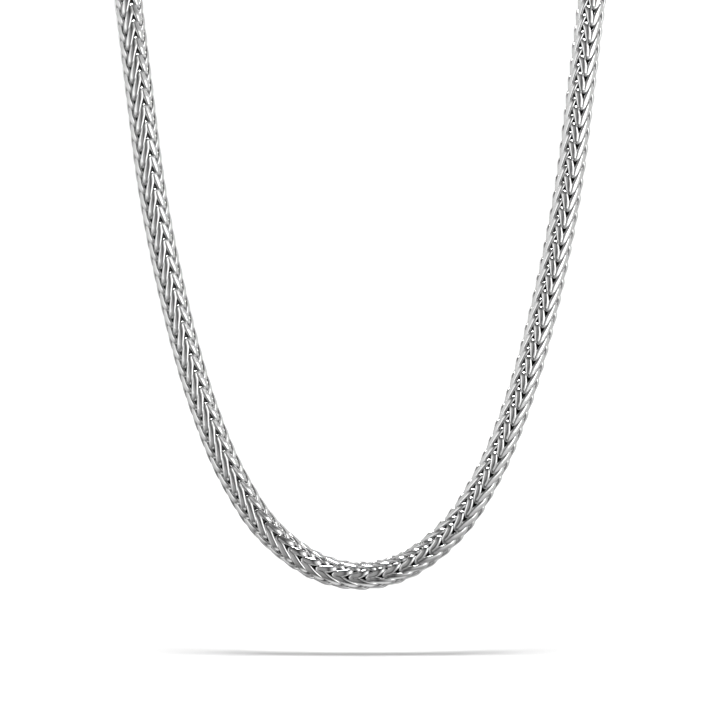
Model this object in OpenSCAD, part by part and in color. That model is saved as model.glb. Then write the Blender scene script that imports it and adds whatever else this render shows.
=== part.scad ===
/* [Chain] */
// Width of the woven chain, from wire end to opposite wire end
chain_w = 5.4; // [5:0.1:5.8]
// Flat sides round the swept chain
chain_sides = 12; // [8:1:12]
// Rings swept in each step of the route
rings_per_step = 2; // [1:1:3]

/* [Clasp] */
// Length of the barrel clasp
clasp_l = 15; // [14:0.5:16]
// Wall round each chain end
clasp_wall = 0.5; // [0.4:0.1:0.7]
// How far a chain end sits inside the barrel
cup_depth = 2.5; // [2:0.1:3]
// Clearance between the chain and its cup
fit_gap = 0.2; // [0.1:0.05:0.3]
// Length of the raised collar at each mouth
collar_l = 1.8; // [1.2:0.1:2.4]
// How far the collars stand proud of the barrel
collar_rise = 0.3; // [0.2:0.05:0.4]
// Width of the groove where the barrel's halves meet
seam_w = 0.4; // [0.3:0.1:0.6]

/* [Hidden] */

chain_r = chain_w / 2;
cup_r = chain_r + fit_gap;
collar_r = cup_r + clasp_wall;
barrel_r = collar_r - collar_rise;
edge = collar_rise / 2;

// The barrel's neck side touches the origin, so the chain runs one collar radius behind it
back_y = collar_r;
mouth_x = clasp_l / 2;
end_x = mouth_x - cup_depth + fit_gap;

// The wearer's left side of the route, from the lowest point in front up to the back of the neck
FRONT = [0, -106, -166];
SIDE = [
    [7.5, -106, -164.5],
    [14, -105.5, -160.5],
    [19.5, -105, -155],
    [23.5, -104.5, -148.5],
    [27, -104, -141.5],
    [32, -102.5, -127.5],
    [36.5, -100.5, -110],
    [40, -99, -92],
    [42.5, -97, -73],
    [45, -93, -54],
    [47.5, -86.5, -38],
    [51, -73, -21],
    [54, -55, -11],
    [54, -38.5, -7],
    [48.5, -24, -4],
    [38.5, -11.5, -2],
    [26.5, -3, -0.5],
    [14.5, 2.2, 0],
    [8.5, 3.4, 0]
];
BACK = [end_x, back_y, 0];

side_count = len(SIDE);
function other_side(p) = [-p.x, p.y, p.z];
ROUTE = concat(
    [other_side(BACK)],
    [for (i = [side_count - 1:-1:0]) other_side(SIDE[i])],
    [FRONT],
    SIDE,
    [BACK]
);
steps = len(ROUTE) - 1;
rings = steps * rings_per_step + 1;

// The route's line never points this way, so a ring's two directions can be taken from it
LEAN = [0, -1, 1];

function unit(v) = v / norm(v);

// A route point, or one more step in a straight line past either end
function stop(i) =
    i < 0 ? 2 * ROUTE[0] - ROUTE[1] :
    i > steps ? 2 * ROUTE[steps] - ROUTE[steps - 1] :
    ROUTE[i];

// A smooth curve from b to c, led in from a and out towards d
function bend(a, b, c, d, t) =
    0.5 * (2 * b + (c - a) * t + (2 * a - 5 * b + 4 * c - d) * t * t + (3 * b - a - 3 * c + d) * t * t * t);

function centre_at(u) =
    let (i = min(floor(u), steps - 1))
    bend(stop(i - 1), stop(i), stop(i + 1), stop(i + 2), u - i);

CENTRES = [for (k = [0:rings - 1]) centre_at(k / rings_per_step)];

function heading(k) = unit(CENTRES[min(k + 1, rings - 1)] - CENTRES[max(k - 1, 0)]);

function ring(k) =
    let (ahead = heading(k), across = unit(cross(ahead, LEAN)), up = cross(across, ahead))
    [for (s = [0:chain_sides - 1])
        let (turn = 360 * s / chain_sides)
        CENTRES[k] + chain_r * (cos(turn) * across + sin(turn) * up)];

// Two triangles between ring k and the next one, on side s
function panel(k, s) =
    let (
        a = k * chain_sides + s,
        b = k * chain_sides + (s + 1) % chain_sides,
        c = b + chain_sides,
        d = a + chain_sides
    )
    [[a, b, c], [a, c, d]];

// The woven chain, a loop that is open only inside the clasp
module chain() {
    ring_points = [for (k = [0:rings - 1], p = ring(k)) p];
    start_cap = [[for (s = [chain_sides - 1:-1:0]) s]];
    end_cap = [[for (s = [0:chain_sides - 1]) (rings - 1) * chain_sides + s]];
    wall = [for (k = [0:rings - 2], s = [0:chain_sides - 1], triangle = panel(k, s)) triangle];
    color("silver")
        polyhedron(points = ring_points, faces = concat(start_cap, wall, end_cap));
}

// Half the barrel's outline, radius against distance from its middle
function half_outline() = [
    [0, 0],
    [barrel_r - edge, 0],
    [barrel_r - edge, seam_w / 2],
    [barrel_r, seam_w / 2 + edge],
    [barrel_r, mouth_x - collar_l - edge],
    [collar_r - edge, mouth_x - collar_l],
    [collar_r, mouth_x - collar_l + edge],
    [collar_r, mouth_x - edge],
    [collar_r - edge, mouth_x],
    [cup_r, mouth_x],
    [cup_r, mouth_x - cup_depth],
    [0, mouth_x - cup_depth]
];

// The clasp, one plain closed barrel with a cup at each end for the chain
module clasp() {
    color("gainsboro")
        translate([0, back_y, 0])
            rotate([0, 90, 0])
                union() {
                    rotate_extrude($fn = 96) polygon(half_outline());
                    mirror([0, 0, 1]) rotate_extrude($fn = 96) polygon(half_outline());
                }
}

chain();
clasp();
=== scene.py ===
import math
import bpy
import numpy as np
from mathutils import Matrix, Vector


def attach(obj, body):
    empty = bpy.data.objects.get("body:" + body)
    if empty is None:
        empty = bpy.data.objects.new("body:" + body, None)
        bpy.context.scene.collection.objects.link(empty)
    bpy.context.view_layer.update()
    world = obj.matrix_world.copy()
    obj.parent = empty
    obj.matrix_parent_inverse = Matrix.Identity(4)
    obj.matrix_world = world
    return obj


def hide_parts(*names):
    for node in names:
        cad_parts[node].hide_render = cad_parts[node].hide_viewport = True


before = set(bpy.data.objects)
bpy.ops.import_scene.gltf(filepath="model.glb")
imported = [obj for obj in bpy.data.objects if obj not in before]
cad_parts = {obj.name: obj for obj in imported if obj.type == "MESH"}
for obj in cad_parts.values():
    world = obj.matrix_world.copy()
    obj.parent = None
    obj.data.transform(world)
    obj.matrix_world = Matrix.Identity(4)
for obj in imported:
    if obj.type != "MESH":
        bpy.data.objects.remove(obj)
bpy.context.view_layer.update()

# ---- camera ----
# A long lens, close to level and square on, framing the lower half of the loop.
aim = Vector((0.0, -0.103, -0.1245))
distance = 0.70
elevation = math.radians(4.0)
half_frame = 0.0691

camera_data = bpy.data.cameras.new("camera")
camera_data.sensor_width = 36.0
camera_data.lens = 18.0 * distance / half_frame
camera_data.clip_start = 0.01
camera = bpy.data.objects.new("camera", camera_data)
bpy.context.scene.collection.objects.link(camera)
camera.location = aim + distance * Vector((0.0, -math.cos(elevation), math.sin(elevation)))
camera.rotation_euler = (aim - camera.location).to_track_quat("-Z", "Y").to_euler()
bpy.context.scene.camera = camera


# ---- floor and studio light ----
# A plain white floor that runs up into a white wall all round, lit by soft panels. The
# steel doesn't mirror it, and mirrors the plain tones of the studio's walls instead.
floor_z = -0.1810
floor_reach = 0.9
wall_curve = 0.5
curve_steps = 12
around = 96
near_white = 0.76
far_white = 0.95


def new_object(name, points, faces):
    mesh = bpy.data.meshes.new(name)
    mesh.from_pydata([tuple(p) for p in points], [], faces)
    mesh.update()
    mesh.shade_smooth()
    thing = bpy.data.objects.new(name, mesh)
    bpy.context.scene.collection.objects.link(thing)
    return thing


def new_material(name):
    material = bpy.data.materials.new(name)
    material.use_nodes = True
    tree = material.node_tree
    return material, tree.nodes, tree.links, tree.nodes["Principled BSDF"]


profile = [(0.3, 0.0), (0.6, 0.0)]
for i in range(curve_steps + 1):
    turn = math.radians(90.0 * i / curve_steps)
    profile.append((floor_reach + wall_curve * math.sin(turn), wall_curve - wall_curve * math.cos(turn)))
profile.append((floor_reach + wall_curve, 1.6))
room_points = [(0.0, 0.0, floor_z)]
for reach, height in profile:
    for k in range(around):
        turn = 2 * math.pi * k / around
        room_points.append((reach * math.sin(turn), reach * math.cos(turn), floor_z + height))
room_faces = [(0, 1 + (k + 1) % around, 1 + k) for k in range(around)]
for i in range(len(profile) - 1):
    for k in range(around):
        a, b = 1 + i * around + k, 1 + i * around + (k + 1) % around
        room_faces.append((a, b, b + around, a + around))
backdrop = new_object("backdrop", room_points, room_faces)
material, nodes, links, shader = new_material("white_floor")
shader.inputs["Roughness"].default_value = 0.75
place = nodes.new("ShaderNodeTexCoord")
axes = nodes.new("ShaderNodeSeparateXYZ")
whiteness = nodes.new("ShaderNodeMapRange")
whiteness.interpolation_type = "SMOOTHSTEP"
for name, number in (("From Min", 0.0), ("From Max", 0.7), ("To Min", near_white), ("To Max", far_white)):
    whiteness.inputs[name].default_value = number
links.new(place.outputs["Object"], axes.inputs[0])
links.new(axes.outputs["Y"], whiteness.inputs["Value"])
links.new(whiteness.outputs["Result"], shader.inputs["Base Color"])
backdrop.data.materials.append(material)
backdrop.visible_glossy = False


def panel(name, place, target, size, power, tall=None):
    data = bpy.data.lights.new(name, "AREA")
    data.shape = "RECTANGLE"
    data.size = size
    data.size_y = tall or size
    data.energy = power
    light = bpy.data.objects.new(name, data)
    bpy.context.scene.collection.objects.link(light)
    light.location = Vector(place)
    light.rotation_euler = (Vector(target) - Vector(place)).to_track_quat("-Z", "Y").to_euler()


middle = (0.0, -0.10, -0.12)
panel("panel_top", (0.0, -0.12, 1.0), middle, 0.50, 15.0, 0.28)
panel("panel_right", (0.75, -0.60, 0.0), middle, 0.50, 2.4, 0.9)
panel("panel_left", (-0.75, -0.65, 0.05), middle, 0.40, 0.7, 0.9)
panel("panel_back", (0.0, 0.6, 1.1), (0.0, 1.30, 0.30), 2.4, 4.8, 0.8)

# A dark room in front and overhead, where the camera stands, a grey wall to its left, a
# brighter one to its right and a white one behind.
world = bpy.data.worlds.new("studio")
bpy.context.scene.world = world
world.use_nodes = True
nodes, links = world.node_tree.nodes, world.node_tree.links
direction = nodes.new("ShaderNodeTexCoord")
parts = nodes.new("ShaderNodeSeparateXYZ")
links.new(direction.outputs["Generated"], parts.inputs[0])


def tone_run(axis, stops):
    """Greys against one part of the direction, which runs from -1 to 1."""
    reach = nodes.new("ShaderNodeMapRange")
    reach.inputs["From Min"].default_value = -1.0
    links.new(parts.outputs[axis], reach.inputs["Value"])
    ramp = nodes.new("ShaderNodeValToRGB")
    links.new(reach.outputs["Result"], ramp.inputs["Fac"])
    while len(ramp.color_ramp.elements) < len(stops):
        ramp.color_ramp.elements.new(0.5)
    for element, (place, grey) in zip(ramp.color_ramp.elements, stops):
        element.position = (place + 1) / 2
        element.color = (grey, grey, grey, 1.0)
    return ramp.outputs["Color"]


def joined(kind, first, second):
    mix = nodes.new("ShaderNodeMix")
    mix.data_type = "RGBA"
    mix.blend_type = kind
    mix.inputs["Factor"].default_value = 1.0
    links.new(first, mix.inputs["A"])
    links.new(second, mix.inputs["B"])
    return mix.outputs["Result"]


side_walls = tone_run("X", [(-0.9, 0.9), (-0.6, 0.46), (-0.25, 0.36), (-0.08, 0.08),
                            (0.08, 0.08), (0.30, 0.62), (0.55, 0.95), (0.9, 0.75)])
back_wall = tone_run("Y", [(0.20, 0.0), (0.70, 1.0)])
height = tone_run("Z", [(-0.9, 0.2), (-0.55, 0.8), (0.0, 1.0), (0.5, 0.9), (0.8, 0.15)])
low_glow = tone_run("Z", [(-0.95, 0.9), (-0.80, 0.0)])
walls = joined("LIGHTEN", joined("MULTIPLY", joined("LIGHTEN", side_walls, back_wall), height), low_glow)
links.new(walls, nodes["Background"].inputs["Color"])
nodes["Background"].inputs["Strength"].default_value = 1.0
bpy.context.scene.view_settings.view_transform = "Standard"


# ---- chain links ----
# 338 closed links of steel wire, in two families at right angles. Each is linked through
# its partner of the same level, and the levels only nest in each other.
pitch = 0.00325
wire_r = 0.00048
link_points = 84
wire_sides = 12
level_start = 0.0001
level_end = 0.0035
settling_rounds = 80

# The wire begins to show this far from the chain's middle, and within the next stretch it
# grows wider, thinner and squarer by these shares. What stands past the worn distance
# keeps a part of its height.
shown_from = 0.00185
shown_within = 0.0003
widened = 0.38
thinned = 0.08
squared = 0.30
worn_past = 0.00254
worn_left = 0.80

# Lengths at the two ends of the chain that are pressed together in the clasp's cups.
start_pressed = 0.0009
end_pressed = 0.0019
cup_margin = 0.0001

# Half of one link: angle round the chain, place along it in pitches, distance from its
# middle in mm, and how firmly the point keeps its place when the links are settled.
HALF_LINK = [
    (0, 0.00, 1.98, 1.0), (8, 0.06, 2.01, 1.0), (12, 0.20, 2.07, 1.0), (14, 0.36, 2.15, 1.0),
    (18, 0.54, 2.26, 1.0), (25, 0.76, 2.32, 1.0), (32, 0.97, 2.30, 1.0), (39, 1.15, 2.24, 1.0),
    (45, 1.32, 2.12, 0.8), (52, 1.47, 1.85, 0.3), (60, 1.59, 1.42, 0.2), (72, 1.70, 1.12, 0.0),
    (90, 1.75, 1.05, 0.0), (108, 1.69, 0.98, 0.0), (124, 1.51, 0.98, 0.0), (135, 1.33, 1.12, 0.3),
    (140.5, 1.18, 1.50, 0.5), (145, 1.06, 1.92, 0.9), (150, 0.93, 2.20, 1.0), (157, 0.74, 2.32, 1.0),
    (162, 0.54, 2.26, 1.0), (166, 0.37, 2.15, 1.0), (168.5, 0.20, 2.06, 1.0), (172.5, 0.06, 2.00, 1.0),
]

# The route of part.scad, in mm: the lowest point in front, the wearer's left side up to
# the back of the neck, and the end inside the clasp.
FRONT = (0, -106, -166)
SIDE = [
    (7.5, -106, -164.5), (14, -105.5, -160.5), (19.5, -105, -155), (23.5, -104.5, -148.5),
    (27, -104, -141.5), (32, -102.5, -127.5), (36.5, -100.5, -110), (40, -99, -92),
    (42.5, -97, -73), (45, -93, -54), (47.5, -86.5, -38), (51, -73, -21), (54, -55, -11),
    (54, -38.5, -7), (48.5, -24, -4), (38.5, -11.5, -2), (26.5, -3, -0.5), (14.5, 2.2, 0),
    (8.5, 3.4, 0),
]
BACK = (5.2, 3.4, 0)

# The turn of the weave about the chain, in degrees from facing the camera, against the
# distance in mm from the lowest point (wearer's right is negative).
TURNS = [(-300, -25), (-24, -24), (-8, 2), (28, 6), (125, 7), (300, 7)]


def smooth_curve(points, steps, closed=False):
    points = np.asarray(points, dtype=float)
    count = len(points)
    if closed:
        rows = np.vstack([points[-1:], points, points[:2]])
        spans = count
    else:
        rows = np.vstack([2 * points[:1] - points[1:2], points, 2 * points[-1:] - points[-2:-1]])
        spans = count - 1
    out = []
    for i in range(spans):
        a, b, c, d = rows[i:i + 4]
        for k in range(steps):
            t = k / steps
            out.append(0.5 * (2 * b + (c - a) * t + (2 * a - 5 * b + 4 * c - d) * t ** 2
                              + (3 * b - a - 3 * c + d) * t ** 3))
    if not closed:
        out.append(points[-1])
    return np.array(out)


def spaced(points, count):
    loop = np.vstack([points, points[:1]])
    run = np.concatenate([[0.0], np.cumsum(np.linalg.norm(np.diff(loop[:, :3], axis=0), axis=1))])
    at = np.arange(count) * run[-1] / count
    return np.column_stack([np.interp(at, run, loop[:, k]) for k in range(loop.shape[1])])


def both_ends_alike(points):
    half = len(points) // 2
    flip = np.array([1.0, -1.0, -1.0])
    mean = (points[:half] + points[half:] * flip) / 2
    return np.vstack([mean, mean * flip])


def settled_link():
    """One link, with its wire eased away from the wires round it."""
    half = np.array(HALF_LINK, dtype=float)
    full = np.vstack([half, half + [180, 0, 0, 0]])
    turn = np.radians(full[:, 0])
    places = np.column_stack([full[:, 1] * pitch * 1000, full[:, 2] * np.cos(turn),
                              full[:, 2] * np.sin(turn), full[:, 3]])
    start = spaced(smooth_curve(places, 20, closed=True), link_points)
    hold = start[:, 3:]
    goal = both_ends_alike(start[:, :3])
    link = goal.copy()
    row = np.arange(link_points)
    apart = np.abs(row[:, None] - row[None])
    apart = np.minimum(apart, link_points - apart)
    step = pitch * 1000
    for _ in range(settling_rounds):
        crossed = np.column_stack([link[:, 0], -link[:, 2], link[:, 1]])
        others = [link]
        others += [link + [k * step, 0, 0] for k in (-2, -1, 1, 2)]
        others += [crossed + [k * step, 0, 0] for k in (-2, -1, 0, 1, 2)]
        spacing = np.linalg.norm(link - np.roll(link, 1, 0), axis=1).sum() / link_points
        move = np.zeros_like(link)
        for number, other in enumerate(others):
            gap = link[:, None] - other[None]
            length = np.linalg.norm(gap, axis=2)
            if number == 0:
                length = np.where(apart * spacing < 2.2, 9.0, length)
            near = np.argmin(length, axis=1)
            short = np.clip(2 * wire_r * 1000 - length[row, near], 0, None)
            move += 0.5 * (short / np.maximum(length[row, near], 1e-6))[:, None] * gap[row, near]
        for _ in range(3):
            move = (np.roll(move, 1, 0) + 2 * move + np.roll(move, -1, 0)) / 4
        off = link + 0.9 * move * (1 - 0.8 * hold) - goal
        bend = (np.roll(off, 1, 0) + np.roll(off, -1, 0)) / 2 - off
        stiff = (np.roll(bend, 1, 0) + np.roll(bend, -1, 0)) / 2 - bend
        link = both_ends_alike(goal + off - (1 - 0.8 * hold) * (0.3 * stiff - 0.02 * bend))
    return link / 1000


def wire_skin(line):
    """The wire round a closed line: round inside the chain, wider and flatter where it shows."""
    count = len(line)
    ahead = np.roll(line, -1, 0) - np.roll(line, 1, 0)
    ahead /= np.linalg.norm(ahead, axis=1)[:, None]
    out = line * [0.0, 1.0, 1.0]
    radius = np.linalg.norm(out, axis=1)
    out = out - (out * ahead).sum(axis=1)[:, None] * ahead
    for _ in range(4):
        out = (np.roll(out, 1, 0) + 2 * out + np.roll(out, -1, 0)) / 4
    out = out - (out * ahead).sum(axis=1)[:, None] * ahead
    out /= np.linalg.norm(out, axis=1)[:, None]
    across = np.cross(ahead, out)
    shown = np.clip((radius - shown_from) / shown_within, 0, 1)
    shown = shown * shown * (3 - 2 * shown)
    for _ in range(3):
        shown = (np.roll(shown, 1) + 2 * shown + np.roll(shown, -1)) / 4
    half_width = wire_r * (1 + widened * shown)
    half_depth = wire_r * (1 - thinned * shown)
    points = []
    for i in range(count):
        power = 1 - squared * shown[i]
        for k in range(wire_sides):
            a = 2 * math.pi * (k + 0.5) / wire_sides
            wide = half_width[i] * math.copysign(abs(math.cos(a)) ** power, math.cos(a))
            deep = half_depth[i] * math.copysign(abs(math.sin(a)) ** power, math.sin(a))
            points.append(line[i] + wide * across[i] + deep * out[i])
    points = np.array(points)
    distance = np.linalg.norm(points[:, 1:], axis=1)
    flat = np.where(distance > worn_past, worn_past + worn_left * (distance - worn_past), distance)
    points[:, 1:] *= (flat / distance)[:, None]
    faces = []
    for i in range(count):
        n = (i + 1) % count
        for k in range(wire_sides):
            m = (k + 1) % wire_sides
            faces.append((i * wire_sides + k, n * wire_sides + k, n * wire_sides + m, i * wire_sides + m))
    return points, np.array(faces)


def route_frames():
    """The route at even small steps, with its three directions and the weave's turn."""
    right = [(-p[0], p[1], p[2]) for p in SIDE[::-1]]
    stops = [(-BACK[0], BACK[1], BACK[2])] + right + [FRONT] + SIDE + [BACK]
    line = smooth_curve(stops, 80)
    run = np.concatenate([[0.0], np.cumsum(np.linalg.norm(np.diff(line, axis=0), axis=1))])
    step = 0.25
    at = np.arange(0, run[-1], step)
    line = np.column_stack([np.interp(at, run, line[:, k]) for k in range(3)])
    width = np.arange(-40, 41)
    weight = np.exp(-0.5 * (width * step / 2.5) ** 2)
    weight /= weight.sum()
    long = np.vstack([2 * line[0] - line[40:0:-1], line, 2 * line[-1] - line[-2:-42:-1]])
    line = np.column_stack([np.convolve(long[:, k], weight, "valid") for k in range(3)])
    ahead = np.gradient(line, axis=0)
    ahead /= np.linalg.norm(ahead, axis=1)[:, None]
    low = int(np.argmin(line[:, 2]))
    up = np.zeros_like(line)
    up[low] = (0, -1, 0)
    for order in (range(low + 1, len(line)), range(low - 1, -1, -1)):
        before = up[low]
        for i in order:
            before = before - np.dot(before, ahead[i]) * ahead[i]
            before = before / np.linalg.norm(before)
            up[i] = before
    side = np.cross(ahead, up)
    along = np.arange(len(line)) * step
    turn = np.radians(np.interp(along - along[low], [t[0] for t in TURNS], [t[1] for t in TURNS]))
    front = np.cos(turn)[:, None] * up + np.sin(turn)[:, None] * side
    side = np.cross(ahead, front)
    return along / 1000, line / 1000, front, side


def on_route(points, along, line, front, side):
    """Bends points given along a straight chain onto the route."""
    at = points[:, 0]
    place = np.column_stack([np.interp(at, along, line[:, k]) for k in range(3)])
    out = np.column_stack([np.interp(at, along, front[:, k]) for k in range(3)])
    across = np.column_stack([np.interp(at, along, side[:, k]) for k in range(3)])
    return place + points[:, 1:2] * out + points[:, 2:3] * across


def squeezed(at, end):
    """Presses the links that end inside the clasp's cups together there."""
    low = start_pressed + cup_margin
    under = np.minimum(at - low, 0)
    at = np.where(under < 0, low - start_pressed * (1 - np.exp(under / start_pressed)), at)
    high = end - end_pressed - cup_margin
    over = np.maximum(at - high, 0)
    return np.where(over > 0, high + end_pressed * (1 - np.exp(-over / end_pressed)), at)


link_line = settled_link()
skin, skin_faces = wire_skin(link_line)
route = route_frames()
end = route[0][-1]
levels = int((end - level_start - level_end) / pitch)
spread = (end - level_start - level_end) / levels
quarter = np.column_stack([skin[:, 0], -skin[:, 2], skin[:, 1]])
skin_depth = 1000 * np.linalg.norm(skin[:, 1:], axis=1)


def speckle(nodes, links, size, detail=3.0):
    """Noise of a given size in metres, fixed to the part."""
    coordinates = nodes.new("ShaderNodeTexCoord")
    noise = nodes.new("ShaderNodeTexNoise")
    noise.inputs["Scale"].default_value = 1.0 / size
    noise.inputs["Detail"].default_value = detail
    links.new(coordinates.outputs["Object"], noise.inputs["Vector"])
    return noise.outputs["Fac"]


def scaled(nodes, links, value, from_low, from_high, to_low, to_high):
    change = nodes.new("ShaderNodeMapRange")
    change.interpolation_type = "SMOOTHSTEP"
    change.inputs["From Min"].default_value = from_low
    change.inputs["From Max"].default_value = from_high
    change.inputs["To Min"].default_value = to_low
    change.inputs["To Max"].default_value = to_high
    links.new(value, change.inputs["Value"])
    return change.outputs["Result"]


def fine_bump(nodes, links, shader, value, height):
    bump = nodes.new("ShaderNodeBump")
    bump.inputs["Strength"].default_value = 0.5
    bump.inputs["Distance"].default_value = height
    links.new(value, bump.inputs["Height"])
    links.new(bump.outputs["Normal"], shader.inputs["Normal"])


# Polished steel with a faint unevenness of finish, and painted shade: its colour is darkened deep between
# the wires, by each point's distance from the chain's middle.
chain_steel, nodes, links, shader = new_material("chain_steel")
shader.inputs["Metallic"].default_value = 1.0
shader.inputs["Specular Tint"].default_value = (0.55, 0.55, 0.55, 1.0)
# Painted shade: the base colour runs from dark grey near the chain's middle to light steel at its
# outside.
from_middle = nodes.new("ShaderNodeAttribute")
from_middle.attribute_name = "from_middle"
shade_by_depth = scaled(nodes, links, from_middle.outputs["Fac"], 1.75, 2.45, 0.0, 1.0)
painted_shade_tone = nodes.new("ShaderNodeValToRGB")
painted_shade_tone.color_ramp.elements[0].color = (0.30, 0.30, 0.30, 1.0)
painted_shade_tone.color_ramp.elements[1].color = (0.84, 0.84, 0.84, 1.0)
links.new(shade_by_depth, painted_shade_tone.inputs["Fac"])
cloud = scaled(nodes, links, speckle(nodes, links, 0.0030), 0.3, 0.7, 0.93, 1.0)
tint = nodes.new("ShaderNodeMix")
tint.data_type = "RGBA"
tint.blend_type = "MULTIPLY"
tint.inputs["Factor"].default_value = 1.0
links.new(painted_shade_tone.outputs["Color"], tint.inputs["A"])
links.new(cloud, tint.inputs["B"])
links.new(tint.outputs["Result"], shader.inputs["Base Color"])
polish = scaled(nodes, links, speckle(nodes, links, 0.0012), 0.3, 0.7, 0.14, 0.24)
links.new(polish, shader.inputs["Roughness"])
fine_bump(nodes, links, shader, speckle(nodes, links, 0.00022, 2.0), 0.000012)

PARTS = ["links_neck_right", "links_front_right", "links_front_left", "links_neck_left"]
for number, name in enumerate(PARTS):
    own = [k for k in range(levels + 1) if k * 4 // (levels + 1) == number]
    points = []
    faces = []
    for k in own:
        for shape in (skin, quarter):
            placed = shape + [level_start + k * spread, 0, 0]
            placed[:, 0] = squeezed(placed[:, 0], end)
            faces.append(skin_faces + sum(len(p) for p in points))
            points.append(on_route(placed, *route))
    links_piece = new_object(name, np.vstack(points), np.vstack(faces).tolist())
    links_piece.data.materials.append(chain_steel)
    # Each point's distance from the chain's middle, by which the steel's painted shade darkens.
    depth = links_piece.data.attributes.new("from_middle", "FLOAT", "POINT")
    depth.data.foreach_set("value", np.tile(skin_depth, 2 * len(own)))
    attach(links_piece, "root")
    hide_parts("chain")


# ---- clasp ----
# A plain closed barrel of turned steel behind the neck, as in the source.
clasp_steel, nodes, links, shader = new_material("clasp_steel")
shader.inputs["Metallic"].default_value = 1.0
cloud = scaled(nodes, links, speckle(nodes, links, 0.0040), 0.3, 0.7, 0.71, 0.77)
links.new(cloud, shader.inputs["Base Color"])
polish = scaled(nodes, links, speckle(nodes, links, 0.0015), 0.3, 0.7, 0.16, 0.26)
links.new(polish, shader.inputs["Roughness"])
fine_bump(nodes, links, shader, speckle(nodes, links, 0.00025, 2.0), 0.000010)
for node, steel in (("chain", chain_steel), ("clasp", clasp_steel)):
    for slot in bpy.data.objects[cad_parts[node].name].material_slots:
        slot.material = steel
